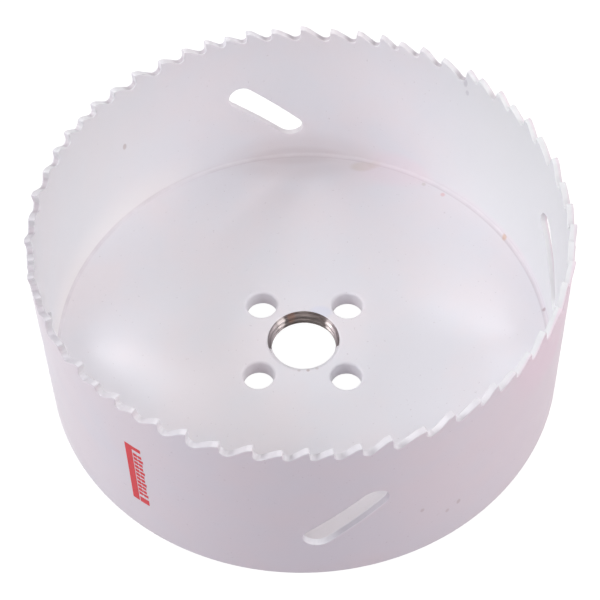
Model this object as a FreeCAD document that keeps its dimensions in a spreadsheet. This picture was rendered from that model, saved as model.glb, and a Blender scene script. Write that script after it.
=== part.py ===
import FreeCAD, Part
import Sketcher
import math
import os

# Hole saw: a toothed, slotted steel wall around a thick threaded back plate.
# The origin is the centre of the back plate's outer face. +Z points from the back towards the teeth.

os.makedirs("parts", exist_ok=True)
doc = FreeCAD.newDocument("hole_saw")
sheet = doc.addObject("Spreadsheet::Sheet", "Sizes")

SIZES = (
    ("cut_diameter", 114.3, "over the tips of the outward set teeth"),
    ("body_diameter", 113.7, "outside of the rolled wall"),
    ("wall_thickness", 1.5, "thickness of the strip"),
    ("overall_height", 46.3, "back face to tooth tips"),
    ("rim_break", 0.5, "chamfer round the foot of the wall"),
    ("band_depth", 3.6, "tips to the foot of the toothed band"),
    ("set_depth", 2.2, "tips to the bend where the set begins"),
    ("tip_depth_ratio", 0.47, "gullet depth over pitch"),
    ("gullet_radius_ratio", 0.18, "gullet radius over pitch"),
    ("land_ratio", 0.22, "relieved land behind the tip over pitch"),
    ("land_slope", 15.0, "slope of the land, degrees"),
    ("seam_turn", 47.5, "direction of the first tip past the butt joint, degrees"),
    ("pitch_first", 6.62, "pitches of one cycle, along the wall's outside"),
    ("pitch_second", 5.82, "next along"),
    ("pitch_third", 5.07, "next along"),
    ("pitch_fourth", 4.72, "next along, the closest teeth"),
    ("pitch_fifth", 5.52, "next along"),
    ("pitch_sixth", 6.12, "next along"),
    ("pitch_seventh", 6.87, "next along, the widest gap"),
    ("slot_count", 4, "slanted slots round the wall"),
    ("slot_width", 6.0, "between the slot's long sides"),
    ("slot_length", 22.4, "end to end, along the slant"),
    ("slot_slant", 45.0, "slope of the slot, degrees"),
    ("slot_height", 20.8, "middle of the slot above the back face"),
    ("slot_turn", 7.5, "direction of the first slot, degrees"),
    ("plate_thickness", 4.5, "back plate"),
    ("bead_size", 0.8, "sloping bead where the plate meets the wall"),
    ("thread_minor_diameter", 14.6, "bore of the 5/8-18 thread"),
    ("thread_mouth_diameter", 16.4, "chamfered mouth of the thread"),
    ("pin_hole_count", 4, "drive pin holes"),
    ("pin_hole_diameter", 6.9, "drive pin hole"),
    ("pin_circle_diameter", 27.6, "circle through the pin holes' centres"),
    ("pin_hole_turn", 42.2, "direction of the first pin hole, degrees"),
)
for number, (alias, value, note) in enumerate(SIZES, start=1):
    sheet.set("A%d" % number, alias)
    sheet.set("B%d" % number, str(value))
    sheet.set("C%d" % number, note)
    sheet.setAlias("B%d" % number, alias)
doc.recompute()

UP = FreeCAD.Vector(0, 0, 1)
CENTRE = FreeCAD.Vector(0, 0, 0)


def size(alias):
    return float(getattr(sheet, alias))


def origin_part(body, role):
    for feature in body.Origin.OriginFeatures:
        if feature.Role == role:
            return feature
    raise RuntimeError("no origin feature " + role)


def sketch_on(body, name, role):
    sketch = body.newObject("Sketcher::SketchObject", name)
    sketch.AttachmentSupport = (origin_part(body, role), [""])
    sketch.MapMode = "FlatFace"
    return sketch


def closed_outline(sketch, corners):
    # Joins the corners with lines and pins each corner to the driving sizes.
    first = sketch.GeometryCount
    count = len(corners)
    for index in range(count):
        start = corners[index]
        end = corners[(index + 1) % count]
        line = Part.LineSegment(
            FreeCAD.Vector(start[0], start[1], 0), FreeCAD.Vector(end[0], end[1], 0)
        )
        sketch.addGeometry(line, False)
    for index in range(count):
        following = (index + 1) % count
        sketch.addConstraint(Sketcher.Constraint("Coincident", first + index, 2, first + following, 1))
    for index, corner in enumerate(corners):
        for kind, value, formula in (
            ("DistanceX", corner[0], corner[2]),
            ("DistanceY", corner[1], corner[3]),
        ):
            if formula is None:
                axis = -2 if kind == "DistanceX" else -1
                sketch.addConstraint(Sketcher.Constraint("PointOnObject", first + index, 1, axis))
                continue
            constraint = sketch.addConstraint(Sketcher.Constraint(kind, -1, 1, first + index, 1, value))
            sketch.setExpression("Constraints[%d]" % constraint, formula)


def revolve(body, name, sketch):
    revolution = body.newObject("PartDesign::Revolution", name)
    revolution.Profile = sketch
    revolution.ReferenceAxis = (sketch, ["V_Axis"])
    revolution.Angle = 360.0
    return revolution


def polar(body, name, original, count_formula):
    pattern = body.newObject("PartDesign::PolarPattern", name)
    pattern.Originals = [original]
    pattern.Axis = (origin_part(body, "Z_Axis"), [""])
    pattern.Angle = 360.0
    pattern.setExpression("Occurrences", count_formula)
    body.Tip = pattern
    return pattern


outer_radius = size("body_diameter") / 2
inner_radius = outer_radius - size("wall_thickness")
tip_height = size("overall_height")
band_foot = tip_height - size("band_depth")

# Rolled wall below the teeth, with its slanted slots.
wall_body = doc.addObject("PartDesign::Body", "WallBody")
wall_section = sketch_on(wall_body, "WallSection", "XZ_Plane")
OUTER = "Sizes.body_diameter / 2"
INNER = "Sizes.body_diameter / 2 - Sizes.wall_thickness"
BAND_FOOT = "Sizes.overall_height - Sizes.band_depth"
rim_break = size("rim_break")
closed_outline(
    wall_section,
    (
        (inner_radius, 0, INNER, None),
        (outer_radius - rim_break, 0, OUTER + " - Sizes.rim_break", None),
        (outer_radius, rim_break, OUTER, "Sizes.rim_break"),
        (outer_radius, band_foot, OUTER, BAND_FOOT),
        (inner_radius, band_foot, INNER, BAND_FOOT),
    ),
)
revolve(wall_body, "WallTube", wall_section)

slot_sketch = sketch_on(wall_body, "SlotOutline", "XZ_Plane")
slot_sketch.AttachmentOffset = FreeCAD.Placement(
    CENTRE, FreeCAD.Rotation(FreeCAD.Vector(0, 1, 0), size("slot_turn"))
)
slot_sketch.setExpression("AttachmentOffset.Rotation.Angle", "Sizes.slot_turn")
slant = math.radians(size("slot_slant"))
half_run = (size("slot_length") - size("slot_width")) / 2
slot_radius = size("slot_width") / 2
along = FreeCAD.Vector(-math.cos(slant), math.sin(slant), 0)
across = FreeCAD.Vector(math.sin(slant), math.cos(slant), 0)
middle = FreeCAD.Vector(0, size("slot_height"), 0)
upper = middle + along * half_run
lower = middle - along * half_run
facing = math.atan2(across.y, across.x)
slot_sketch.addGeometry(
    Part.ArcOfCircle(Part.Circle(upper, UP, slot_radius), facing, facing + math.pi), False
)
slot_sketch.addGeometry(
    Part.LineSegment(upper - across * slot_radius, lower - across * slot_radius), False
)
slot_sketch.addGeometry(
    Part.ArcOfCircle(Part.Circle(lower, UP, slot_radius), facing + math.pi, facing + 2 * math.pi), False
)
slot_sketch.addGeometry(
    Part.LineSegment(lower + across * slot_radius, upper + across * slot_radius), False
)
for index in range(4):
    following = (index + 1) % 4
    slot_sketch.addConstraint(Sketcher.Constraint("Tangent", index, 2, following, 1))
radius_rule = slot_sketch.addConstraint(Sketcher.Constraint("Radius", 0, slot_radius))
slot_sketch.setExpression("Constraints[%d]" % radius_rule, "Sizes.slot_width / 2")
HALF_RUN = "(Sizes.slot_length - Sizes.slot_width) / 2"
for arc, centre, side in ((0, upper, 1), (2, lower, -1)):
    run = slot_sketch.addConstraint(Sketcher.Constraint("DistanceX", -1, 1, arc, 3, centre.x))
    slot_sketch.setExpression(
        "Constraints[%d]" % run,
        "%d * %s * cos(Sizes.slot_slant * 1 deg)" % (-side, HALF_RUN),
    )
    rise = slot_sketch.addConstraint(Sketcher.Constraint("DistanceY", -1, 1, arc, 3, centre.y))
    slot_sketch.setExpression(
        "Constraints[%d]" % rise,
        "Sizes.slot_height + %d * %s * sin(Sizes.slot_slant * 1 deg)" % (side, HALF_RUN),
    )
slot_cut = wall_body.newObject("PartDesign::Pocket", "SlotCut")
slot_cut.Profile = slot_sketch
slot_cut.setExpression("Length", "Sizes.body_diameter")
polar(wall_body, "SlotRing", slot_cut, "Sizes.slot_count")

# Toothed band. No pattern fits it, because the pitch varies and the teeth are set in turn, so each
# tooth is swept round its own pitch and its gullet cut from it.
PITCH_NAMES = (
    "pitch_first",
    "pitch_second",
    "pitch_third",
    "pitch_fourth",
    "pitch_fifth",
    "pitch_sixth",
    "pitch_seventh",
)
OUTWARD = 1
INWARD = -1
STRAIGHT = 0
SET_CYCLE = (OUTWARD, INWARD, OUTWARD, INWARD, OUTWARD, STRAIGHT, INWARD)
TOOTH_CLEARANCE = 1.0
LAST_PITCH_SHARE = 1.3


def strip_section(tooth_set):
    # Radial section of the strip from the band's foot to the tips, leaning by the set.
    lean = tooth_set * (size("cut_diameter") - size("body_diameter")) / 2
    bend = tip_height - size("set_depth")
    corners = (
        (inner_radius, band_foot),
        (outer_radius, band_foot),
        (outer_radius, bend),
        (outer_radius + lean, tip_height),
        (inner_radius + lean, tip_height),
        (inner_radius, bend),
        (inner_radius, band_foot),
    )
    points = [FreeCAD.Vector(radius, 0, height) for radius, height in corners]
    return Part.Face(Part.makePolygon(points))


def gullet_cutter(pitch):
    # Space above a tooth: straight rake face, round gullet, back slope and a gentler land.
    depth = size("tip_depth_ratio") * pitch
    radius = size("gullet_radius_ratio") * pitch
    land = size("land_ratio") * pitch
    land_drop = land * math.tan(math.radians(size("land_slope")))
    centre_height = tip_height - depth + radius
    back_run = pitch - land - radius
    back_rise = depth - radius - land_drop
    reach = math.hypot(back_run, back_rise)
    slope = math.atan2(back_rise, back_run) + math.asin(radius / reach)
    halfway = math.pi + (math.pi / 2 + slope) / 2
    side = outer_radius - size("wall_thickness") - TOOTH_CLEARANCE * 2

    def at(run, height):
        return FreeCAD.Vector(side, run - pitch / 2, height)

    arc_start = at(0, centre_height)
    arc_middle = at(radius + radius * math.cos(halfway), centre_height + radius * math.sin(halfway))
    arc_end = at(radius + radius * math.sin(slope), centre_height - radius * math.cos(slope))
    heel = at(pitch - land, tip_height - land_drop)
    tip = at(pitch, tip_height)
    beyond = at(pitch + TOOTH_CLEARANCE, tip_height)
    top_far = at(pitch + TOOTH_CLEARANCE, tip_height + TOOTH_CLEARANCE)
    top_near = at(-TOOTH_CLEARANCE / 4, tip_height + TOOTH_CLEARANCE)
    step = at(-TOOTH_CLEARANCE / 4, centre_height)
    edges = [
        Part.LineSegment(step, arc_start).toShape(),
        Part.Arc(arc_start, arc_middle, arc_end).toShape(),
        Part.LineSegment(arc_end, heel).toShape(),
        Part.LineSegment(heel, tip).toShape(),
        Part.LineSegment(tip, beyond).toShape(),
        Part.LineSegment(beyond, top_far).toShape(),
        Part.LineSegment(top_far, top_near).toShape(),
        Part.LineSegment(top_near, step).toShape(),
    ]
    face = Part.Face(Part.Wire(edges))
    depth_through = size("wall_thickness") + TOOTH_CLEARANCE * 4
    return face.extrude(FreeCAD.Vector(depth_through, 0, 0))


def toothed_band():
    teeth = []
    turned = 0.0
    number = 0
    while turned < 360.0:
        # The pitch after tooth N ends at tooth N + 1, so a tooth's own cycle place is one further on.
        pitch = size(PITCH_NAMES[number % len(PITCH_NAMES)])
        turn = math.degrees(pitch / outer_radius)
        if turned + turn * LAST_PITCH_SHARE > 360.0:
            # The strip's ends meet here, so the last pitch is what is left of the round.
            turn = 360.0 - turned
            pitch = math.radians(turn) * outer_radius
            tooth_set = SET_CYCLE[0]
        else:
            tooth_set = SET_CYCLE[(number + 1) % len(SET_CYCLE)]
        tooth = strip_section(tooth_set).revolve(CENTRE, UP, turn)
        cutter = gullet_cutter(pitch)
        cutter.rotate(CENTRE, UP, turn / 2)
        tooth = tooth.cut(cutter)
        tooth.rotate(CENTRE, UP, size("seam_turn") + turned)
        teeth.append(tooth)
        turned += turn
        number += 1
    return teeth[0].fuse(teeth[1:]).removeSplitter()


band = doc.addObject("Part::Feature", "ToothedBand")
band.Shape = toothed_band()
band.Placement = FreeCAD.Placement(CENTRE, FreeCAD.Rotation())

wall = doc.addObject("Part::MultiFuse", "ToothedWall")
wall.Label = "toothed_wall"
wall.Shapes = [wall_body, band]
wall.Refine = True
wall.Placement = FreeCAD.Placement(CENTRE, FreeCAD.Rotation())

# Back plate: a disc inside the foot of the wall, with the thread's bore and the pin holes.
plate = doc.addObject("PartDesign::Body", "BackPlate")
plate.Label = "back_plate"
plate_section = sketch_on(plate, "PlateSection", "XZ_Plane")
bore_radius = size("thread_minor_diameter") / 2
mouth_radius = size("thread_mouth_diameter") / 2
mouth_depth = mouth_radius - bore_radius
thickness = size("plate_thickness")
bead = size("bead_size")
BORE = "Sizes.thread_minor_diameter / 2"
MOUTH = "Sizes.thread_mouth_diameter / 2"
MOUTH_DEPTH = "(Sizes.thread_mouth_diameter - Sizes.thread_minor_diameter) / 2"
closed_outline(
    plate_section,
    (
        (mouth_radius, 0, MOUTH, None),
        (inner_radius, 0, INNER, None),
        (inner_radius, thickness + bead, INNER, "Sizes.plate_thickness + Sizes.bead_size"),
        (inner_radius - bead, thickness, INNER + " - Sizes.bead_size", "Sizes.plate_thickness"),
        (mouth_radius, thickness, MOUTH, "Sizes.plate_thickness"),
        (bore_radius, thickness - mouth_depth, BORE, "Sizes.plate_thickness - " + MOUTH_DEPTH),
        (bore_radius, mouth_depth, BORE, MOUTH_DEPTH),
    ),
)
revolve(plate, "PlateDisc", plate_section)

pin_sketch = sketch_on(plate, "PinHole", "XY_Plane")
pin_turn = math.radians(size("pin_hole_turn"))
pin_circle_radius = size("pin_circle_diameter") / 2
pin_centre = FreeCAD.Vector(
    pin_circle_radius * math.cos(pin_turn), pin_circle_radius * math.sin(pin_turn), 0
)
pin_sketch.addGeometry(Part.Circle(pin_centre, UP, size("pin_hole_diameter") / 2), False)
for kind, value, formula in (
    ("DistanceX", pin_centre.x, "Sizes.pin_circle_diameter / 2 * cos(Sizes.pin_hole_turn * 1 deg)"),
    ("DistanceY", pin_centre.y, "Sizes.pin_circle_diameter / 2 * sin(Sizes.pin_hole_turn * 1 deg)"),
):
    rule = pin_sketch.addConstraint(Sketcher.Constraint(kind, -1, 1, 0, 3, value))
    pin_sketch.setExpression("Constraints[%d]" % rule, formula)
diameter_rule = pin_sketch.addConstraint(
    Sketcher.Constraint("Diameter", 0, size("pin_hole_diameter"))
)
pin_sketch.setExpression("Constraints[%d]" % diameter_rule, "Sizes.pin_hole_diameter")
pin_cut = plate.newObject("PartDesign::Pocket", "PinHoleCut")
pin_cut.Profile = pin_sketch
pin_cut.Reversed = True
pin_cut.setExpression("Length", "Sizes.plate_thickness * 2")
polar(plate, "PinHoleRing", pin_cut, "Sizes.pin_hole_count")
plate.Placement = FreeCAD.Placement(CENTRE, FreeCAD.Rotation())

doc.recompute()

for item in doc.Objects:
    for state in ("Invalid", "Error"):
        if state in item.State:
            raise RuntimeError(item.Name + " is " + state)

for node in (wall, plate):
    shape = node.Shape
    if shape.isNull() or not shape.isValid() or len(shape.Solids) != 1:
        raise RuntimeError(node.Label + " isn't one valid solid")
    shape.exportStep("parts/" + node.Label + ".step")
    print(node.Label, "volume", round(shape.Volume, 1), "faces", len(shape.Faces))
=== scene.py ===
import math

import bpy
import numpy as np
from mathutils import Matrix, Vector
from mathutils.geometry import delaunay_2d_cdt


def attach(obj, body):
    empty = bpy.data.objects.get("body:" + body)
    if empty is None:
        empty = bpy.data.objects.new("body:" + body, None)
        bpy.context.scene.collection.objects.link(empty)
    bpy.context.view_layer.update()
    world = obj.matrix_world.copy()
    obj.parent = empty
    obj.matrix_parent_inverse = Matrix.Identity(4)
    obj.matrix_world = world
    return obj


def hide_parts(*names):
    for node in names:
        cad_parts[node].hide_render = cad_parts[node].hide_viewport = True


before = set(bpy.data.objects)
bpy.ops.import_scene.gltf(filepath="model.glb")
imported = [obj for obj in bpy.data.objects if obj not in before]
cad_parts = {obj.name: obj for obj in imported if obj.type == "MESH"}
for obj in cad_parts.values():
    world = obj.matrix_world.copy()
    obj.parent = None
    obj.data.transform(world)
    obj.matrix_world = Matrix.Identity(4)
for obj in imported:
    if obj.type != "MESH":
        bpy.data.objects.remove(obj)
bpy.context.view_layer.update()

# Sizes in millimetres and degrees, the same as the solids'. Turns go counter-clockwise from +X.
MM = 0.001

# The rolled wall, with its butt joint at SEAM_TURN. Its foot is rounded below FOOT.
R_OUT = 56.85
THICK = 1.5
R_IN = R_OUT - THICK
GIRTH = 2 * math.pi * R_OUT
HEIGHT = 46.3
FOOT = 0.8
SEAM_TURN = 47.5

# Its teeth. The ratios are shares of a tooth's pitch, and each tip leans by its set above the bend.
PITCHES = (6.62, 5.82, 5.07, 4.72, 5.52, 6.12, 6.87)
LONGEST_LAST = 1.3
SETS = (1, -1, 1, -1, 1, 0, -1)
TIP_SET = 0.3
BEND = HEIGHT - 2.2
DEPTH_RATIO = 0.47
GULLET_RATIO = 0.18
LAND_RATIO = 0.22
LAND_SLOPE = 15.0

# Its slots.
SLOT_TURN = 7.5
SLOT_WIDTH = 6.0
SLOT_LENGTH = 22.4
SLOT_SLANT = 45.0
SLOT_HEIGHT = 20.8

# The back plate, with radii of the thread, of the bore's mouths and of the pin holes and their circle.
# Paint has run into the upper mouth on its near side, where the sine of the turn is below NEAR_SIDE.
FLOOR = 4.5
BEAD = 0.8
BEAD_ARC = math.radians(78)
MINOR = 7.3
MAJOR = 7.94
THREAD_PITCH = 25.4 / 18
FLANK = math.radians(60)
MOUTH = 8.2
NEAR_SIDE = -0.22
PIN_RADIUS = 3.45
PIN_CIRCLE = 13.8
PIN_TURN = 42.2

# Rounding that the paint gives the edges, and how far its build fills a gullet.
WALL_EDGE = 0.2
HOLE_EDGE = 0.62
UNDER_EDGE = 0.25
MOUTH_LIP = 0.55
LIP_DROP = 0.12
TIP_ROUND = 0.26
TIP_GAP = 0.01
HEEL_EASE = 0.3
PAINT_BUILD = 0.2

# Points round the wall, the plate and a pin hole. Two points nearer to each other than SAME are one.
WALL_AROUND = 240
PLATE_AROUND = 288
PIN_AROUND = 64
SAME = 1e-6


class Surface:
    """Gathers points, normals, faces and material numbers, then makes one mesh object of them."""

    def __init__(self):
        self.points = []
        self.normals = []
        self.faces = []
        self.materials = []

    def add(self, point, normal):
        self.points.append(point)
        self.normals.append(normal)
        return len(self.points) - 1

    def face(self, corners, material=0):
        self.faces.append(corners)
        self.materials.append(material)

    def strip(self, first, second, material=0, closed=True):
        """Quads between two rows of the same length."""
        count = len(first)
        for i in range(count if closed else count - 1):
            j = (i + 1) % count
            self.face((first[i], first[j], second[j], second[i]), material)

    def outward(self):
        """Turns round each face that looks away from its corners' normals."""
        points = np.array(self.points, float)
        normals = np.array(self.normals, float)
        corners = np.array([face if len(face) == 4 else face + face[2:] for face in self.faces])
        diagonals = points[corners[:, 2:]] - points[corners[:, :2]]
        looks = np.cross(diagonals[:, 0], diagonals[:, 1])
        wrong = (looks * normals[corners].sum(1)).sum(1) < 0
        self.faces = [face[::-1] if w else face for face, w in zip(self.faces, wrong)]

    def make(self, name, materials):
        self.outward()
        mesh = bpy.data.meshes.new(name)
        mesh.from_pydata([tuple(c * MM for c in p) for p in self.points], [], self.faces)
        mesh.polygons.foreach_set("material_index", self.materials)
        mesh.polygons.foreach_set("use_smooth", [True] * len(self.faces))
        mesh.update()
        mesh.normals_split_custom_set_from_vertices([Vector(n).normalized() for n in self.normals])
        for material in materials:
            mesh.materials.append(material)
        piece = bpy.data.objects.new(name, mesh)
        bpy.context.scene.collection.objects.link(piece)
        return piece


def offsets(points, closed):
    """Unit offset at each point, to the right of the direction of travel, lengthened at corners."""
    p = np.array(points, float)
    if closed:
        before = p - np.roll(p, 1, axis=0)
        after = np.roll(p, -1, axis=0) - p
    else:
        step = np.diff(p, axis=0)
        before = np.vstack([step[-1:], step])
        after = np.vstack([step, step[:1]])
    before /= np.linalg.norm(before, axis=1)[:, None]
    after /= np.linalg.norm(after, axis=1)[:, None]
    n1 = np.stack([before[:, 1], -before[:, 0]], 1)
    n2 = np.stack([after[:, 1], -after[:, 0]], 1)
    return (n1 + n2) / (1 + (n1 * n2).sum(1))[:, None]


def inside(points, loops):
    """Even-odd test of many points against closed loops, in batches of edges."""
    batch = 256
    px = points[:, 0][:, None]
    py = points[:, 1][:, None]
    odd = np.zeros(len(points), int)
    for loop in loops:
        a = np.array(loop, float)
        b = np.roll(a, -1, axis=0)
        for start in range(0, len(a), batch):
            ax, ay = a[start:start + batch].T
            bx, by = b[start:start + batch].T
            crosses = (ay > py) != (by > py)
            run = np.where(by == ay, 1.0, by - ay)
            at = ax + (py - ay) / run * (bx - ax)
            odd += (crosses & (px < at)).sum(1)
    return odd % 2 == 1


def triangulate(loops, spare):
    """Triangles of the area inside the first loop and outside the others, with spare inner points."""
    points = []
    edges = []
    for loop in loops:
        first = len(points)
        points += [Vector(p) for p in loop]
        edges += [(first + i, first + (i + 1) % len(loop)) for i in range(len(loop))]
    points += [Vector(p) for p in spare]
    verts, _, faces, origins, _, _ = delaunay_2d_cdt(points, edges, [], 0, SAME / 10, True)
    source = [o[0] if o else -1 for o in origins]
    flat = np.array([v[:] for v in verts])
    tris = np.array([f[:] for f in faces if len(f) == 3])
    keep = inside(flat[tris].mean(1), loops)
    return [tuple(source[i] for i in tri) for tri in tris[keep]]


def clear_of(points, loops, gap):
    """The points that are further than the gap from every loop's points."""
    rx, ry = np.array([p for loop in loops for p in loop], float).T
    return [(x, y) for x, y in points if np.min((rx - x) ** 2 + (ry - y) ** 2) > gap * gap]


def arc_point(centre, radius, angle):
    return (centre[0] + radius * math.cos(angle), centre[1] + radius * math.sin(angle))


def circle(radius, count, cx=0.0, cy=0.0):
    return [arc_point((cx, cy), radius, 2 * math.pi * k / count) for k in range(count)]


def part_way(first, last, share):
    return tuple(a + (b - a) * share for a, b in zip(first, last))


# The wall, laid out along a strip.

def teeth():
    """(start, pitch, set) of each tooth along the strip's outside. The last takes what is left."""
    made = []
    start = 0.0
    number = 0
    while start < GIRTH - SAME:
        pitch = PITCHES[number % len(PITCHES)]
        if start + pitch * LONGEST_LAST > GIRTH:
            pitch = GIRTH - start
            lean = SETS[0]
        else:
            lean = SETS[(number + 1) % len(SETS)]
        made.append((start, pitch, lean))
        start += pitch
        number += 1
    return made


TEETH = teeth()
TOOTH_ENDS = np.array([start + pitch for start, pitch, _ in TEETH])


def lean_at(run, height):
    """How far the strip is bent outwards there. A rake face goes with the tooth behind it."""
    slack = 0.02
    tooth = int(np.searchsorted(TOOTH_ENDS, (run - slack) % GIRTH))
    tooth = min(tooth, len(TEETH) - 1)
    part = max(0.0, (height - BEND) / (HEIGHT - BEND))
    return TEETH[tooth][2] * TIP_SET * min(part, 1.0)


def tooth_outline(start, pitch):
    """Rake face, gullet, back slope, land and rounded tip of one tooth, from tip to tip."""
    land_slope = math.radians(LAND_SLOPE)
    cut = TIP_ROUND / math.tan((math.pi / 2 - land_slope) / 2)
    top = HEIGHT + cut - TIP_ROUND - TIP_GAP
    rake_top = top - cut
    radius = GULLET_RATIO * pitch
    gullet = (radius, HEIGHT + PAINT_BUILD / 2 - DEPTH_RATIO * pitch + radius)
    heel = (pitch * (1 - LAND_RATIO), top - LAND_RATIO * pitch * math.tan(land_slope))
    reach = math.hypot(heel[0] - gullet[0], heel[1] - gullet[1])
    slope = math.atan2(heel[1] - gullet[1], heel[0] - gullet[0]) + math.asin(radius / reach)
    line = [(0.0, rake_top + (gullet[1] - rake_top) * k / 5) for k in range(5)]
    for k in range(9):
        line.append(arc_point(gullet, radius, math.pi + (math.pi / 2 + slope) * k / 8))
    foot = line[-1]
    line += [part_way(foot, heel, k / 6) for k in range(1, 6)]
    ahead = (math.cos(land_slope), math.sin(land_slope))
    behind = (math.cos(slope), math.sin(slope))
    for t in (0.0, 0.5, 1.0):
        line.append(tuple(
            h - b * HEEL_EASE * (1 - t) + a * HEEL_EASE * t for h, b, a in zip(heel, behind, ahead)
        ))
    begin = line[-1]
    end = (pitch - cut * ahead[0], top - cut * ahead[1])
    line += [part_way(begin, end, k / 3) for k in range(1, 4)]
    tip = (pitch - TIP_ROUND, rake_top)
    for k in range(1, 6):
        line.append(arc_point(tip, TIP_ROUND, (math.pi / 2 + land_slope) * (1 - k / 6)))
    return [(start + x, z) for x, z in line]


def strip_top():
    """The toothed edge from the first gullet's bottom right round to the same place."""
    line = []
    for start, pitch, _ in TEETH:
        line += tooth_outline(start, pitch)
    first_gullet = range(12)
    low = min(first_gullet, key=lambda i: line[i][1])
    return line[low:] + [(x + GIRTH, z) for x, z in line[:low]]


def slot_loop(middle):
    """One slanted slot with round ends, counter-clockwise."""
    slant = math.radians(180 - SLOT_SLANT)
    half = (SLOT_LENGTH - SLOT_WIDTH) / 2
    radius = SLOT_WIDTH / 2
    ax, az = math.cos(slant), math.sin(slant)
    line = []
    for end in (1, -1):
        centre = (middle + end * half * ax, SLOT_HEIGHT + end * half * az)
        for k in range(17):
            a = slant - math.pi / 2 + (0 if end == 1 else math.pi) + math.pi * k / 16
            line.append(arc_point(centre, radius, a))
        for k in range(1, 10):
            along = (1 - k / 5) * end * half
            side = radius if end == 1 else -radius
            line.append((
                middle + along * ax - side * az,
                SLOT_HEIGHT + along * az + side * ax,
            ))
    return line


def edge_profile(edge, thick):
    """(inset, depth, facing) across a rounded edge, from the outer face to the inner face."""
    turns = [math.radians(90 / 4 * k) for k in range(5)]
    outer = [(edge * (1 - math.sin(a)), edge * (1 - math.cos(a)), a) for a in turns]
    inner = [(amount, thick - depth, math.pi - a) for amount, depth, a in outer[::-1]]
    return outer + [(0.0, thick / 2, math.pi / 2)] + inner


def inset(points, offset, amount):
    return [(p[0] + o[0] * amount, p[1] + o[1] * amount) for p, o in zip(points, offset)]


def wall_slots(first_run):
    """Each slot's loop on the strip, which begins at first_run, with the offsets of its points."""
    slots = []
    for quarter in range(4):
        middle = math.radians(SLOT_TURN + 90 * quarter - SEAM_TURN) * R_OUT
        while middle < first_run:
            middle += GIRTH
        # The strip runs counter-clockwise seen from above, and the slot rises along it.
        loop = [(2 * middle - x, z) for x, z in slot_loop(middle)[::-1]]
        slots.append((loop, offsets(loop, True)))
    return slots


def strip_spare(loops, rim, first_run):
    """Staggered rows of points on the strip, inside its loops and clear of the rim and the slots."""
    step = 1.5
    last = first_run + GIRTH - 0.5
    spare = []
    for j in range(1, int((HEIGHT - 1 - FOOT) / step) + 1):
        shift = 0.5 + 0.5 * (j % 2)
        for i in range(WALL_AROUND):
            x = first_run + (i + shift) * GIRTH / WALL_AROUND
            if x < last:
                spare.append((x, FOOT + j * step))
    spare = np.array(spare)
    spare = spare[inside(spare, loops)]
    return clear_of([tuple(p) for p in spare], [rim] + loops[1:], step / 2)


def roll_up(surface, run, height, depth, facing, side):
    """Adds a point of the rolled strip. Its normal turns by facing from outwards to one side."""
    angle = math.radians(SEAM_TURN) + run / R_OUT
    radius = R_OUT - depth + lean_at(run, height)
    radial = (math.cos(angle), math.sin(angle))
    tangent = (-radial[1], radial[0])
    c = math.cos(facing)
    s = math.sin(facing)
    normal = (
        c * radial[0] + s * side[0] * tangent[0],
        c * radial[1] + s * side[0] * tangent[1],
        s * side[1],
    )
    return surface.add((radius * radial[0], radius * radial[1], height), normal)


def wall_foot(surface, bottom, outer, inner):
    """Foot of the wall, from the outer skin under the rim to the inner skin."""
    # Radius, height, degrees by which it faces down: a soft chamfer, a flat rim, a soft inner edge.
    profile = (
        (R_OUT, 0.55, 8),
        (R_OUT - 0.06, 0.38, 28),
        (R_OUT - 0.22, 0.2, 45),
        (R_OUT - 0.4, 0.06, 65),
        (R_OUT - 0.6, 0.0, 88),
        (R_OUT - 1.0, 0.0, 90),
        (R_IN + 0.25, 0.0, 92),
        (R_IN + 0.07, 0.07, 135),
        (R_IN, 0.25, 172),
    )
    previous = outer
    for radius, height, tilt in profile:
        current = []
        c, s = math.cos(math.radians(tilt)), math.sin(math.radians(tilt))
        for x, _ in bottom[:-1]:
            angle = math.radians(SEAM_TURN) + x / R_OUT
            current.append(surface.add(
                (radius * math.cos(angle), radius * math.sin(angle), height),
                (c * math.cos(angle), c * math.sin(angle), -s),
            ))
        surface.strip(current, previous)
        previous = current
    surface.strip(inner, previous)


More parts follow.
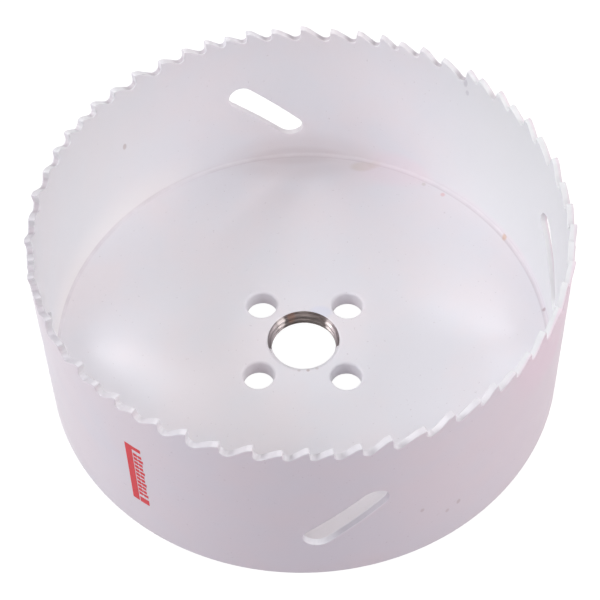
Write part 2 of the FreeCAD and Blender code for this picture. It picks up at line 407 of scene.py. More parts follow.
def build_wall(material):
    """The rolled strip: outer and inner skins, toothed edge, slots and foot, all with soft edges."""
    surface = Surface()
    top = strip_top()
    first_run, low_gullet = top[0]
    last_run = first_run + GIRTH
    top_open = top + [(last_run, low_gullet)]
    top_offset = offsets(top_open, False)
    slots = wall_slots(first_run)

    # The skins reach from the foot to where the edges begin to round.
    bottom = [(first_run + GIRTH * k / WALL_AROUND, FOOT) for k in range(WALL_AROUND + 1)]
    rise = 28
    column = [FOOT + (low_gullet - WALL_EDGE - FOOT) * k / rise for k in range(1, rise)]
    outer_loop = bottom[:-1] + [(last_run, FOOT)] + [(last_run, z) for z in column]
    outer_loop += inset(top_open, top_offset, WALL_EDGE)[::-1]
    outer_loop += [(first_run, z) for z in column[::-1]]
    loops = [outer_loop] + [inset(loop, offset, WALL_EDGE) for loop, offset in slots]
    spare = strip_spare(loops, outer_loop[len(bottom):], first_run)
    flat = [p for loop in loops for p in loop] + spare
    triangles = triangulate(loops, spare)

    # The points at the far end of the strip are the same as those at its near end.
    near = {round(z, 5): index for index, (x, z) in enumerate(flat) if abs(x - first_run) < SAME}
    skins = []
    for depth, facing in ((0.0, 0.0), (THICK, math.pi)):
        made = {}
        for index, (x, z) in enumerate(flat):
            if abs(x - last_run) >= SAME:
                made[index] = roll_up(surface, x, z, depth, facing, (0.0, 0.0))
        for index, (x, z) in enumerate(flat):
            if index not in made:
                made[index] = made[near[round(z, 5)]]
        skins.append(made)
        for a, b, c in triangles:
            corners = (made[a], made[b], made[c])
            surface.face(corners if facing == 0.0 else corners[::-1])

    # Rounded edges of the toothed rim and of each slot.
    skin_start = len(bottom) + len(column)
    rim_ids = [skin_start + len(top_open) - 1 - k for k in range(len(top_open))]
    jobs = [(top_open, top_offset, rim_ids, False)]
    at = len(outer_loop)
    for loop, offset in slots:
        jobs.append((loop, offset, list(range(at, at + len(loop))), True))
        at += len(loop)
    for points, offset, ids, closed in jobs:
        previous = [skins[0][i] for i in ids]
        for amount, depth, facing in edge_profile(WALL_EDGE, THICK)[1:-1]:
            current = []
            for (x, z), o in zip(inset(points, offset, amount), offset):
                length = math.hypot(o[0], o[1])
                side = (-o[0] / length, -o[1] / length)
                current.append(roll_up(surface, x, z, depth, facing, side))
            if not closed:
                current[-1] = current[0]
            surface.strip(previous, current, closed=closed)
            previous = current
        surface.strip(previous, [skins[1][i] for i in ids], closed=closed)

    outer, inner = ([skin[i] for i in range(WALL_AROUND)] for skin in skins)
    wall_foot(surface, bottom, outer, inner)
    return surface.make("wall_strip", [material])


# The back plate.

def ring(surface, radius, height, normal_r, normal_z, count=PLATE_AROUND, cx=0.0, cy=0.0):
    ids = []
    for x, y in circle(1.0, count):
        ids.append(surface.add(
            (cx + radius * x, cy + radius * y, height),
            (normal_r * x, normal_r * y, normal_z),
        ))
    return ids


def plate_face(surface, pins, height, up, outer_radius, inner_radius):
    """A level face with open pin holes. Gives the points of its rim, its bore and its holes."""
    outer = circle(outer_radius, PLATE_AROUND)
    inner = circle(inner_radius, PLATE_AROUND)
    holes = [circle(PIN_RADIUS + HOLE_EDGE, PIN_AROUND, x, y) for x, y in pins]
    loops = [outer, inner] + holes
    # Rings of spare points between bore and rim, with a gap to the edges.
    ring_step = 2.6
    point_step = 2.8
    fewest = 24
    gap = 1.1
    spare = []
    for radius in np.arange(inner_radius + 2.5, outer_radius - 1.5, ring_step):
        spare += circle(radius, max(fewest, int(2 * math.pi * radius / point_step)))
    spare = clear_of(spare, loops, gap)
    keep = inside(np.array(spare), loops)
    spare = [p for p, k in zip(spare, keep) if k]
    flat = [p for loop in loops for p in loop] + spare
    ids = [surface.add((x, y, height), (0, 0, 1 if up else -1)) for x, y in flat]
    for a, b, c in triangulate(loops, spare):
        tri = (ids[a], ids[b], ids[c])
        surface.face(tri if up else tri[::-1])
    cuts = []
    at = 0
    for loop in loops:
        cuts.append(ids[at:at + len(loop)])
        at += len(loop)
    return cuts


def plate_rim(surface, upper, lower):
    """Hollow bead up to the wall, then the hidden side down to the soft lower edge."""
    previous = upper
    for k in range(1, 7):
        a = BEAD_ARC * k / 6
        run = BEAD * math.sin(a) / math.sin(BEAD_ARC)
        climb = BEAD * (1 - math.cos(a)) / (1 - math.cos(BEAD_ARC))
        current = ring(surface, R_IN - BEAD + run, FLOOR + climb, -math.sin(a), math.cos(a))
        surface.strip(previous, current)
        previous = current
    for radius, height, tilt in (
        (R_IN, FLOOR, 0),
        (R_IN, UNDER_EDGE, 10),
        (R_IN - 0.07, 0.07, 45),
    ):
        t = math.radians(tilt)
        current = ring(surface, radius, height, math.cos(t), -math.sin(t))
        surface.strip(previous, current)
        previous = current
    surface.strip(previous, lower)


def pin_hole(surface, cx, cy, upper, lower):
    """One hole with rounded painted edges, from the upper face down to the lower one."""
    turns = [math.radians(90 / 5 * k) for k in range(1, 6)]
    levels = [(a, FLOOR - HOLE_EDGE * (1 - math.cos(a)), math.cos(a)) for a in turns]
    levels += [(a, HOLE_EDGE * (1 - math.cos(a)), -math.cos(a)) for a in turns[::-1]]
    previous = upper
    for a, height, normal_z in levels:
        radius = PIN_RADIUS + HOLE_EDGE * (1 - math.sin(a))
        current = ring(surface, radius, height, -math.sin(a), normal_z, PIN_AROUND, cx, cy)
        surface.strip(current, previous)
        previous = current
    surface.strip(lower, previous)


def bore_radius(angle, height):
    """Radius of the threaded bore there, and whether the cone of a mouth makes it."""
    depth = MAJOR - MINOR
    place = (height / THREAD_PITCH - angle / (2 * math.pi)) % 1.0
    half_root = THREAD_PITCH / 16
    away = abs(place - 0.5) * THREAD_PITCH - half_root
    cut = depth - max(away, 0.0) * math.tan(FLANK)
    cone = max(height - (FLOOR - (MOUTH - MINOR)), (MOUTH - MINOR) - height, 0.0)
    return MINOR + max(min(cut, depth), 0.0, cone), cone > max(cut, 0.0)


def threaded_bore(surface, upper, lower):
    """A soft lip, the cut helical thread with a cone at each mouth, and the other side's lip."""
    lip_rows = []
    for t in (1 / 3, 2 / 3):
        lip_rows.append((MOUTH + MOUTH_LIP * (1 - t), LIP_DROP * t * t, math.radians(28 * t)))
    count_down = 110
    span = FLOOR - 2 * LIP_DROP
    heights = [FLOOR - LIP_DROP - span * k / count_down for k in range(count_down + 1)]
    turns = [2 * math.pi * k / PLATE_AROUND for k in range(PLATE_AROUND)]
    grid = [[bore_radius(turn, height) for turn in turns] for height in heights]
    radii = np.array([[cell[0] for cell in row] for row in grid])
    dz = np.gradient(radii, np.array(heights), axis=0)
    da = (np.roll(radii, -1, axis=1) - np.roll(radii, 1, axis=1)) / (4 * math.pi / PLATE_AROUND)
    rows = []
    for j, height in enumerate(heights):
        ids = []
        for k, (x, y) in enumerate(circle(1.0, PLATE_AROUND)):
            r = radii[j, k]
            # Inward facing normal of r(angle, height).
            nr, nt, nz = -1.0, da[j, k] / r, dz[j, k]
            ids.append(surface.add(
                (r * x, r * y, height), (nr * x - nt * y, nr * y + nt * x, nz)
            ))
        rows.append(ids)
    previous = upper
    for radius, drop, a in lip_rows:
        current = ring(surface, radius, FLOOR - drop, -math.sin(a), math.cos(a))
        surface.strip(current, previous)
        previous = current
    surface.strip(rows[0], previous)
    for j in range(count_down):
        for k, turn in enumerate(turns):
            n = (k + 1) % PLATE_AROUND
            in_mouth = grid[j][k][1] and heights[j] > FLOOR / 2
            painted = in_mouth and math.sin(turn) < NEAR_SIDE
            corners = (rows[j + 1][k], rows[j + 1][n], rows[j][n], rows[j][k])
            surface.face(corners, 0 if painted else 1)
    previous = rows[-1]
    for radius, drop, a in lip_rows[::-1]:
        current = ring(surface, radius, drop, -math.sin(a), -math.cos(a))
        surface.strip(current, previous)
        previous = current
    surface.strip(lower, previous)


def build_plate(paint, steel):
    """The back plate, with its bead, soft-edged pin holes and a cut helical thread."""
    surface = Surface()
    pins = [arc_point((0.0, 0.0), PIN_CIRCLE, math.radians(PIN_TURN + 90 * k)) for k in range(4)]
    top = plate_face(surface, pins, FLOOR, True, R_IN - BEAD, MOUTH + MOUTH_LIP)
    under = plate_face(surface, pins, 0.0, False, R_IN - UNDER_EDGE, MOUTH + MOUTH_LIP)
    plate_rim(surface, top[0], under[0])
    for (cx, cy), upper, lower in zip(pins, top[2:], under[2:]):
        pin_hole(surface, cx, cy, upper, lower)
    threaded_bore(surface, top[1], under[1])
    return surface.make("plate_disc", [paint, steel])


# Tints of the paint and of its painted light and shade, then of the marks, the steel and the print.
WARM_WHITE = (0.80, 0.755, 0.785)
COOL_WHITE = (0.775, 0.76, 0.80)
DUST = (0.42, 0.36, 0.38)
PINK_CAST = (0.76, 0.69, 0.735)
PINK_LIGHT_SPOT = (0.83, 0.66, 0.74)
COOL_CAST = (0.745, 0.757, 0.77)
TOOTH_TOP_SHADE = (0.605, 0.58, 0.62)
GULLET_SHADE = (0.44, 0.385, 0.425)
SLOT_SHADE = (0.45, 0.41, 0.47)
LOW_LIGHT = (0.84, 0.81, 0.81)
CREASE_SHADE = (0.60, 0.55, 0.585)
BROWN = (0.32, 0.2, 0.17)
GREY = (0.3, 0.28, 0.34)
STEEL_DEEP = (0.075, 0.058, 0.055)
STEEL_PALE = (0.15, 0.125, 0.12)
STEEL_SIDE_SHEEN = (0.27, 0.23, 0.235)
RED_DEEP = (0.70, 0.03, 0.04)
RED_PALE = (0.78, 0.06, 0.075)

# Depth of the fine relief of paint and steel, in metres.
RELIEF = 0.00003


def node(tree, kind, **values):
    made = tree.nodes.new(kind)
    for key, value in values.items():
        setattr(made, key, value)
    return made


def calculate(tree, operation, *values):
    made = node(tree, "ShaderNodeMath", operation=operation)
    for value, socket in zip(values, made.inputs):
        tree.links.new(value, socket)
    return made.outputs[0]


def product(tree, values):
    result = values[0]
    for value in values[1:]:
        result = calculate(tree, "MULTIPLY", result, value)
    return result


def vector_step(tree, operation, vector, constant=None):
    made = node(tree, "ShaderNodeVectorMath", operation=operation)
    tree.links.new(vector, made.inputs[0])
    if constant is not None:
        made.inputs[1].default_value = constant
    return made.outputs["Value" if operation == "LENGTH" else "Vector"]


def separate(tree, vector):
    made = node(tree, "ShaderNodeSeparateXYZ")
    tree.links.new(vector, made.inputs[0])
    return made.outputs


def noise(tree, coords, scale, detail=2.0, rough=0.5):
    made = node(tree, "ShaderNodeTexNoise")
    made.inputs["Scale"].default_value = scale
    made.inputs["Detail"].default_value = detail
    made.inputs["Roughness"].default_value = rough
    tree.links.new(coords, made.inputs["Vector"])
    return made.outputs["Fac"]


def remap(tree, value, low, high, to_low, to_high, smooth=False):
    made = node(tree, "ShaderNodeMapRange")
    if smooth:
        made.interpolation_type = "SMOOTHSTEP"
    limits = {"From Min": low, "From Max": high, "To Min": to_low, "To Max": to_high}
    for name, number in limits.items():
        made.inputs[name].default_value = number
    tree.links.new(value, made.inputs["Value"])
    return made.outputs["Result"]


def blend_number(tree, factor, first, second):
    made = node(tree, "ShaderNodeMix", data_type="FLOAT")
    for value, socket in ((factor, 0), (first, 2), (second, 3)):
        tree.links.new(value, made.inputs[socket])
    return made.outputs[0]


def blend_colour(tree, factor, first, second):
    made = node(tree, "ShaderNodeMix", data_type="RGBA")
    for value, socket in ((first, 6), (second, 7)):
        if isinstance(value, tuple):
            made.inputs[socket].default_value = (*value, 1.0)
        else:
            tree.links.new(value, made.inputs[socket])
    tree.links.new(factor, made.inputs[0])
    return made.outputs[2]


def relief(tree, shader, height, strength):
    bump = node(tree, "ShaderNodeBump")
    bump.inputs["Strength"].default_value = strength
    bump.inputs["Distance"].default_value = RELIEF
    tree.links.new(height, bump.inputs["Height"])
    tree.links.new(bump.outputs["Normal"], shader.inputs["Normal"])


def new_material(name):
    material = bpy.data.materials.new(name)
    material.use_nodes = True
    tree = material.node_tree
    shader = tree.nodes["Principled BSDF"]
    coords = node(tree, "ShaderNodeTexCoord").outputs["Object"]
    return material, tree, shader, coords


def on_wall(turn, height, radius):
    return (*arc_point((0.0, 0.0), radius, math.radians(turn)), height)


def spot(tree, coords, at, stretch, radius, strength):
    """A soft round patch at one place: its strength in the middle, nothing outside its radius."""
    shift = vector_step(tree, "SUBTRACT", coords, tuple(c * MM for c in at))
    length = vector_step(tree, "LENGTH", vector_step(tree, "MULTIPLY", shift, stretch))
    return remap(tree, length, radius * MM * 0.5, radius * MM, strength, 0.0, True)


def add_marks(tree, coords, colour, marks):
    """Small specks and smudges, each one a spot with its tint."""
    for at, stretch, radius, tint, strength in marks:
        colour = blend_colour(tree, spot(tree, coords, at, stretch, radius, strength), colour, tint)
    return colour


# Where a tint lies is the product of its masks. A mask goes from one share to another between two
# limits of a measure, straight or softly (True). The measures are the radius, X (across), Y (back),
# Z (height) and X without its sign (aside), in millimetres, and the Z of the normal (facing). A spot
# is a mask too, with its place, stretch, radius and strength.
OUTSIDE = ("radius", R_OUT - 0.7, R_OUT - 0.2, 0.0, 1.0, False)
INSIDE = ("radius", R_OUT - 0.7, R_OUT - 0.2, 1.0, 0.0, False)
PAST_INNER_EDGE = (R_IN + 0.1, R_IN + 0.35)

# Light that the studio throws on the outside, at the right.
CAST_MASKS = (
    OUTSIDE,
    ("across", 27.0, 56.0, 0.0, 1.0, True),
    ("height", 0.0, HEIGHT, 0.75, 1.0, True),
)
# A painted pink spot of the same light, high on the wall at the right.
PINK_LIGHT_SPOT_MASKS = (
    OUTSIDE,
    ("spot", on_wall(333.0, 43.0, R_OUT), (0.9, 0.9, 1.0), 18.0, 0.5),
)

# Cooler light on the inside, at both sides.
CHILL_MASKS = (
    INSIDE,
    ("height", FLOOR + 0.5, FLOOR + 3.0, 0.0, 1.0, False),
    ("aside", 22.0, 50.0, 0.0, 0.9, True),
    ("across", -20.0, 20.0, 0.6, 1.0, True),
)

# Painted shade on the upward-facing tops of the teeth, mostly at the front and at the left.
TOP_MASKS = (
    ("facing", 0.25, 0.7, 0.0, 1.0, True),
    ("across", -50.0, -34.0, 1.0, 0.63, True),
    ("across", 30.0, 46.0, 0.95, 0.35, True),
    ("height", HEIGHT - 4.2, HEIGHT - 3.6, 0.0, 1.0, False),
    ("back", 0.0, 24.0, 1.0, 0.2, True),
)

# Painted shade on the cut edges of the far gullets, and on those of the front slot.
GULLET_MASKS = (
    ("radius", *PAST_INNER_EDGE, 0.0, 1.0, False),
    ("radius", R_OUT - 0.4, R_OUT - 0.15, 1.0, 0.0, False),
    ("height", HEIGHT - 2.6, HEIGHT - 1.3, 1.0, 0.0, True),
    ("height", HEIGHT - 4.6, HEIGHT - 4.2, 0.0, 1.0, False),
    ("back", -32.0, -4.0, 0.0, 0.7, True),
    ("across", 40.0, 47.0, 1.0, 0.25, True),
)
SLOT_MASKS = (
    ("radius", *PAST_INNER_EDGE, 0.0, 0.6, False),
    ("radius", R_OUT - 0.2, R_OUT - 0.05, 1.0, 0.0, False),
    ("height", 13.0, 16.0, 0.0, 1.0, True),
    ("height", 31.0, 32.0, 1.0, 0.0, False),
    ("back", -50.0, -45.0, 1.0, 0.0, False),
)

# Light that the floor of the cup throws on the foot of the inside, at the left.
LOW_LIGHT_MASKS = (
    INSIDE,
    ("height", FLOOR + 0.4, FLOOR + 0.8, 0.0, 1.0, False),
    ("height", FLOOR + 1.0, FLOOR + 13.0, 0.8, 0.0, True),
    ("across", -44.0, -14.0, 1.0, 0.0, True),
)

# Painted shade along the bead between wall and floor. It lies low on the bead, but high at the left.
CREASE_MASKS = (
    ("radius", R_IN - BEAD - 0.25, R_IN - BEAD, 0.0, 1.0, True),
    ("radius", R_IN + 0.1, R_IN + 0.3, 1.0, 0.0, False),
    ("height", FLOOR + BEAD * 0.8, FLOOR + BEAD * 1.7, 1.0, 0.0, True),
    ("aside", 26.0, 46.0, 0.56, 0.72, True),
)
LOW_CREASE_SHADE = ("radius", R_IN - BEAD * 0.5, R_IN - BEAD * 0.15, 1.0, 0.55, True)
HIGH_CREASE_SHADE = ("radius", R_IN - BEAD * 0.9, R_IN - BEAD * 0.4, 0.1, 1.0, True)
NOT_LEFT = ("across", -36.0, -12.0, 0.0, 1.0, True)

# Painted light and shade: tints and their masks, in the order in which they lie on each other.
PLATE_LAYERS = (
    (COOL_CAST, CHILL_MASKS),
    (LOW_LIGHT, LOW_LIGHT_MASKS),
)
WALL_LAYERS = (
    (PINK_CAST, CAST_MASKS),
    (PINK_LIGHT_SPOT, PINK_LIGHT_SPOT_MASKS),
    (COOL_CAST, CHILL_MASKS),
    (TOOTH_TOP_SHADE, TOP_MASKS),
    (GULLET_SHADE, GULLET_MASKS),
    (SLOT_SHADE, SLOT_MASKS),
    (LOW_LIGHT, LOW_LIGHT_MASKS),
)

# Marks: place, stretch, radius, tint and strength.
ROUND = (1.0, 1.0, 1.0)
# In the crease, the first two marks are painted shade at the back and the third a painted pink cast
# further right; the rest are small specks.
CREASE_MARKS = (
    ((0.5, 54.8, 4.8), (0.25, 0.7, 0.7), 6.5, (0.66, 0.59, 0.60), 0.28),
    ((-0.5, 54.9, 4.8), (0.2, 0.9, 0.9), 3.0, (0.62, 0.54, 0.55), 0.25),
    ((25.0, 49.4, 4.8), (0.5, 1.0, 1.0), 6.5, (0.84, 0.72, 0.77), 0.45),
    ((29.9, 44.7, 4.7), ROUND, 0.7, (0.5, 0.45, 0.4), 0.35),
    ((34.2, 41.3, 4.8), ROUND, 0.8, (0.7, 0.3, 0.3), 0.4),
    ((47.5, 27.4, 5.0), (1.0, 0.7, 1.0), 0.8, (0.6, 0.33, 0.16), 0.5),
    ((54.5, 6.2, 5.0), ROUND, 0.7, (0.3, 0.17, 0.2), 0.55),
)
WALL_MARKS = (
    (on_wall(135.3, 27.6, R_IN), (1.0, 1.0, 0.6), 0.7, BROWN, 0.4),
    (on_wall(47.3, 43.3, R_IN), (1.0, 1.0, 0.45), 0.7, GREY, 0.3),
    (on_wall(46.6, 40.6, R_IN), (1.0, 1.0, 0.6), 0.6, GREY, 0.25),
    (on_wall(293.9, 16.3, R_OUT), (1.0, 1.0, 0.7), 0.6, BROWN, 0.24),
    (on_wall(300.1, 11.2, R_OUT), (1.0, 1.0, 0.7), 0.6, BROWN, 0.22),
    (on_wall(302.9, 12.3, R_OUT), (1.0, 1.0, 0.6), 0.65, BROWN, 0.28),
) + CREASE_MARKS
PLATE_MARKS = (
    ((15.6, 50.9, FLOOR), (0.5, 1.0, 0.5), 1.9, (0.62, 0.55, 0.47), 0.45),
    ((18.4, 51.2, FLOOR), (0.6, 1.0, 0.5), 1.2, (0.62, 0.55, 0.47), 0.35),
    # A painted bluish reflection on the far lip of the bore.
    ((4.0, 7.6, FLOOR), (0.6, 0.9, 0.5), 2.0, (0.70, 0.71, 0.82), 0.6),
    ((0.8, -8.35, FLOOR), ROUND, 0.5, BROWN, 0.5),
    ((-1.2, -8.3, FLOOR), ROUND, 0.5, BROWN, 0.25),
    ((2.8, -7.9, FLOOR), ROUND, 0.5, BROWN, 0.25),
    # A painted pool of light on the floor inside the front slot.
    ((7.4, -46.5, FLOOR), (0.95, 1.3, 0.5), 14.0, (0.93, 0.865, 0.88), 0.55),
) + CREASE_MARKS
THREAD_GLINTS_AND_STAIN = (
    # The first two are painted glints on the thread, left and right; the third is a brown stain.
    ((-5.0, 5.75, 3.4), (1.0, 1.0, 0.4), 1.4, (0.50, 0.44, 0.43), 0.9),
    ((5.9, 4.8, 3.3), (1.0, 1.0, 0.4), 1.3, (0.50, 0.44, 0.43), 0.9),
    ((-2.6, 7.1, 3.6), (1.0, 1.0, 0.4), 1.2, (0.17, 0.10, 0.08), 0.7),
)


def paint_material(name, layers, marks):
    """Semi-gloss off-white paint: tint drift, dust, layers of painted light and shade, painted shade
    at the bead, marks, orange peel.
    """
    material, tree, shader, coords = new_material(name)
    flat = vector_step(tree, "MULTIPLY", coords, (1.0, 1.0, 0.0))
    place = separate(tree, coords)
    facing = separate(tree, node(tree, "ShaderNodeNewGeometry").outputs["Normal"])["Z"]
    measures = {
        "radius": (vector_step(tree, "LENGTH", flat), MM),
        "across": (place["X"], MM),
        "back": (place["Y"], MM),
        "height": (place["Z"], MM),
        "aside": (calculate(tree, "ABSOLUTE", place["X"]), MM),
        "facing": (facing, 1.0),
    }

    def mask(row):
        if row[0] == "spot":
            return spot(tree, coords, *row[1:])
        value, unit = measures[row[0]]
        low, high, to_low, to_high, smooth = row[1:]
        return remap(tree, value, low * unit, high * unit, to_low, to_high, smooth)

    drift = noise(tree, coords, scale=55.0, detail=3.0, rough=0.55)
    colour = blend_colour(tree, remap(tree, drift, 0.38, 0.62, 0.0, 1.0), WARM_WHITE, COOL_WHITE)
    dust = noise(tree, coords, scale=1500.0, detail=1.0)
    colour = blend_colour(tree, remap(tree, dust, 0.735, 0.78, 0.0, 0.25), colour, DUST)
    for tint, masks in layers:
        colour = blend_colour(tree, product(tree, [mask(row) for row in masks]), colour, tint)
    patchy = noise(tree, coords, scale=260.0, detail=3.0)
    crease = product(tree, [mask(row) for row in CREASE_MASKS] + [
        blend_number(tree, mask(NOT_LEFT), mask(HIGH_CREASE_SHADE), mask(LOW_CREASE_SHADE)),
        remap(tree, patchy, 0.3, 0.7, 0.6, 1.0),
    ])
    colour = blend_colour(tree, crease, colour, CREASE_SHADE)
    tree.links.new(add_marks(tree, coords, colour, marks), shader.inputs["Base Color"])

    # The outside of the wall is less glossy than all the rest, and the crease with its painted shade
    # is dull.
    gloss = 0.45
    outside_gloss = 0.26
    shader.inputs["Specular IOR Level"].default_value = gloss
    if layers is WALL_LAYERS:
        falling = remap(tree, mask(OUTSIDE), 0.0, 1.0, gloss, outside_gloss)
        tree.links.new(falling, shader.inputs["Specular IOR Level"])
    clean = remap(tree, noise(tree, coords, scale=180.0, detail=3.0), 0.3, 0.7, 0.34, 0.42)
    crease_dullness = remap(tree, crease, 0.0, 0.5, 0.0, 0.85)
    tree.links.new(calculate(tree, "MAXIMUM", clean, crease_dullness), shader.inputs["Roughness"])
    shader.inputs["IOR"].default_value = 1.5
    peel = noise(tree, coords, scale=750.0, detail=2.0, rough=0.45)
    relief(tree, shader, peel, strength=0.35)
    return material


def steel_material():
    """Bare cut thread: dark, brownish, oily steel with fine turning marks and a brown stain, with a
    painted paler reflection at the sides and two painted glints.
    """
    material, tree, shader, coords = new_material("bare_thread_steel")
    flatten = node(tree, "ShaderNodeMapping")
    flatten.inputs["Scale"].default_value = (1.0, 1.0, 12.0)
    tree.links.new(coords, flatten.inputs["Vector"])
    streak = noise(tree, flatten.outputs["Vector"], scale=420.0, detail=3.0)
    colour = blend_colour(tree, remap(tree, streak, 0.35, 0.65, 0.0, 1.0), STEEL_DEEP, STEEL_PALE)
    # Painted paler reflection at the left and right sides of the bore.
    aside = calculate(tree, "ABSOLUTE", separate(tree, coords)["X"])
    colour = blend_colour(
        tree, remap(tree, aside, 4.8 * MM, 6.6 * MM, 0.0, 1.0, True), colour, STEEL_SIDE_SHEEN
    )
    tree.links.new(add_marks(tree, coords, colour, THREAD_GLINTS_AND_STAIN), shader.inputs["Base Color"])
    shader.inputs["Metallic"].default_value = 0.85
    tree.links.new(remap(tree, streak, 0.3, 0.7, 0.28, 0.45), shader.inputs["Roughness"])
    relief(tree, shader, streak, strength=0.4)
    return material


def print_material():
    """Matt red print, a little uneven, as if pad printed."""
    material, tree, shader, coords = new_material("red_print")
    wear = noise(tree, coords, scale=900.0, detail=3.0)
    colour = blend_colour(tree, remap(tree, wear, 0.3, 0.7, 0.0, 1.0), RED_DEEP, RED_PALE)
    tree.links.new(colour, shader.inputs["Base Color"])
    tree.links.new(remap(tree, wear, 0.3, 0.7, 0.4, 0.5), shader.inputs["Roughness"])
    shader.inputs["Specular IOR Level"].default_value = 0.2
    return material


def build_print(material):
    """A red block beside rows of plain bars: a generic print with no letters in it."""
    surface = Surface()
    lift = 0.02
    radius = R_OUT + lift
    left = 230.4
    width_turn = 4.35
    low = 11.8
    high = 32.9

    def patch(x0, z0, x1, z1):
        """A curved patch. x runs from 0 to 1 across the block and z in millimetres."""
        across = max(1, int(abs(x1 - x0) * 8))
        up = max(1, int(abs(z1 - z0) / 1.5))
        rows = []
        for j in range(up + 1):
            z = z0 + (z1 - z0) * j / up
            ids = []
            for i in range(across + 1):
                turn = math.radians(left + width_turn * (x0 + (x1 - x0) * i / across))
                c, s = math.cos(turn), math.sin(turn)
                ids.append(surface.add((radius * c, radius * s, z), (c, s, 0)))
            rows.append(ids)
        for first, second in zip(rows, rows[1:]):
            surface.strip(first, second, closed=False)

    # The block, its narrow head and its foot, then the bars: two columns of them and a link between.
    patch(0.0, low, 0.41, high)
    patch(0.41, high - 1.3, 0.93, high)
    patch(0.46, low, 1.0, low + 2.0)
    bars = 11
    bottom = low + 2.9
    span = (high - 2.0 - bottom) / bars
    for k in range(bars):
        z = bottom + k * span
        end = 1.0 if k % 3 == 0 else 0.94
        patch(0.45, z, 0.68, z + span * 0.74)
        patch(0.73, z, end, z + span * 0.68)
        patch(0.68, z + span * 0.2, 0.73, z + span * 0.5)
    return surface.make("side_print", [material])


wall_paint = paint_material("wall_paint", WALL_LAYERS, WALL_MARKS)
plate_paint = paint_material("plate_paint", PLATE_LAYERS, PLATE_MARKS)
thread_steel = steel_material()
red_print = print_material()

wall = build_wall(wall_paint)
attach(wall, "root")
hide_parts("toothed_wall")

plate = build_plate(plate_paint, thread_steel)
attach(plate, "root")
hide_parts("back_plate")

side_print = build_print(red_print)
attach(side_print, "root")


# The studio. The floor takes light as its bounce colour, and is seen as its shade with a glow.
FLOOR_REACH = 4.0
FLOOR_BOUNCE = (0.385, 0.30, 0.38)
FLOOR_SHADE = (0.12, 0.12, 0.12)
FLOOR_GLOW = 0.96
AMBIENT = 0.02

# Soft boxes: name, azimuth and elevation they shine from, distance and side in metres, power, colour.
WHITE = (1.0, 1.0, 1.0)
RIG_AIM = (0.0, 0.0, 0.02)
RIG = (
    ("right_box", 0.0, 35.0, 0.8, 0.3, 1.86, WHITE),
    ("back_right_box", 60.0, 35.0, 0.8, 0.3, 0.97, WHITE),
    ("back_left_box", 120.0, 35.0, 0.8, 0.3, 1.15, WHITE),
    ("left_box", 180.0, 35.0, 0.8, 0.3, 3.03, (0.98, 0.99, 1.0)),
    ("front_left_box", 210.0, 35.0, 0.8, 0.3, 1.24, (0.95, 0.95, 1.0)),
    ("front_box", 270.0, 35.0, 0.8, 0.3, 1.05, WHITE),
    ("front_right_box", 330.0, 35.0, 0.8, 0.3, 1.52, WHITE),
    ("high_back_box", 90.0, 62.0, 0.8, 0.3, 0.42, WHITE),
    ("high_front_box", 270.0, 62.0, 0.8, 0.3, 1.08, WHITE),
    ("pink_card", 345.0, 8.0, 0.35, 0.1, 0.04, (1.0, 0.05, 0.25)),
)

# The camera, fitted to the rim and the foot: place in millimetres, degrees it looks down and rolls.
CAMERA_PLACE = (-0.521, -244.37, 344.61)
CAMERA_DOWN = 53.078
CAMERA_ROLL = -1.716
CAMERA_LENS = 111.75


def backdrop_rays(tree):
    """One for camera, glossy and transmission rays, which all see the white backdrop."""
    path = node(tree, "ShaderNodeLightPath")
    seen = path.outputs["Is Camera Ray"]
    for kind in ("Is Glossy Ray", "Is Transmission Ray"):
        seen = calculate(tree, "MAXIMUM", seen, path.outputs[kind])
    return seen


def stage_material():
    """Pale floor that the camera sees as white, with the object's shadow kept."""
    material = bpy.data.materials.new("stage_floor")
    material.use_nodes = True
    tree = material.node_tree
    tree.nodes.clear()
    out = node(tree, "ShaderNodeOutputMaterial")
    seen = backdrop_rays(tree)
    plain = node(tree, "ShaderNodeBsdfDiffuse")
    plain.inputs["Color"].default_value = (*FLOOR_BOUNCE, 1)
    shade = node(tree, "ShaderNodeBsdfDiffuse")
    shade.inputs["Color"].default_value = (*FLOOR_SHADE, 1)
    glow = node(tree, "ShaderNodeEmission")
    glow.inputs["Color"].default_value = (*WHITE, 1)
    glow.inputs["Strength"].default_value = FLOOR_GLOW
    bright = node(tree, "ShaderNodeAddShader")
    tree.links.new(shade.outputs[0], bright.inputs[0])
    tree.links.new(glow.outputs[0], bright.inputs[1])
    choose = node(tree, "ShaderNodeMixShader")
    tree.links.new(seen, choose.inputs[0])
    tree.links.new(plain.outputs[0], choose.inputs[1])
    tree.links.new(bright.outputs[0], choose.inputs[2])
    tree.links.new(choose.outputs[0], out.inputs["Surface"])
    return material


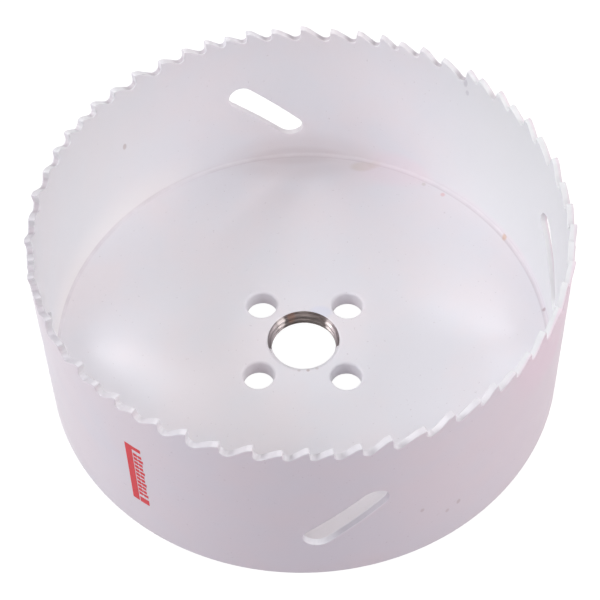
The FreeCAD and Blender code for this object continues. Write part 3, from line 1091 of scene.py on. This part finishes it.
def build_floor():
    mesh = bpy.data.meshes.new("studio_floor")
    corners = ((-1, -1), (1, -1), (1, 1), (-1, 1))
    mesh.from_pydata([(x * FLOOR_REACH, y * FLOOR_REACH, 0) for x, y in corners], [], [(0, 1, 2, 3)])
    mesh.materials.append(stage_material())
    floor = bpy.data.objects.new("studio_floor", mesh)
    bpy.context.scene.collection.objects.link(floor)


def build_world():
    world = bpy.data.worlds.new("studio")
    bpy.context.scene.world = world
    world.use_nodes = True
    tree = world.node_tree
    back = tree.nodes["Background"]
    strength = remap(tree, backdrop_rays(tree), 0.0, 1.0, AMBIENT, 1.0)
    back.inputs["Color"].default_value = (*WHITE, 1)
    tree.links.new(strength, back.inputs["Strength"])


def build_lights():
    for name, azimuth, elevation, distance, side, power, colour in RIG:
        light = bpy.data.lights.new(name, "AREA")
        light.shape = "RECTANGLE"
        light.size = side
        light.size_y = side
        light.energy = power
        light.color = colour
        a = math.radians(azimuth)
        e = math.radians(elevation)
        ray = Vector((math.cos(e) * math.cos(a), math.cos(e) * math.sin(a), math.sin(e)))
        lamp = bpy.data.objects.new(name, light)
        lamp.location = Vector(RIG_AIM) + ray * distance
        lamp.rotation_mode = "QUATERNION"
        lamp.rotation_quaternion = (-ray).to_track_quat("-Z", "Y")
        bpy.context.scene.collection.objects.link(lamp)


def build_camera():
    """Camera at the photograph's place."""
    camera = bpy.data.cameras.new("camera")
    camera.lens = CAMERA_LENS
    camera.sensor_width = 36.0
    camera.clip_start = 0.01
    camera.clip_end = 20.0
    holder = bpy.data.objects.new("camera", camera)
    down = math.radians(CAMERA_DOWN)
    roll = math.radians(CAMERA_ROLL)
    forward = Vector((0, math.cos(down), -math.sin(down)))
    level = Vector((1, 0, 0))
    upward = Vector((0, math.sin(down), math.cos(down)))
    right = level * math.cos(roll) + upward * math.sin(roll)
    up = upward * math.cos(roll) - level * math.sin(roll)
    matrix = Matrix((right, up, -forward)).transposed().to_4x4()
    matrix.translation = Vector(CAMERA_PLACE) * MM
    holder.matrix_world = matrix
    bpy.context.scene.collection.objects.link(holder)
    bpy.context.scene.camera = holder


build_floor()
build_world()
build_lights()
build_camera()

scene = bpy.context.scene
scene.view_settings.view_transform = "Standard"
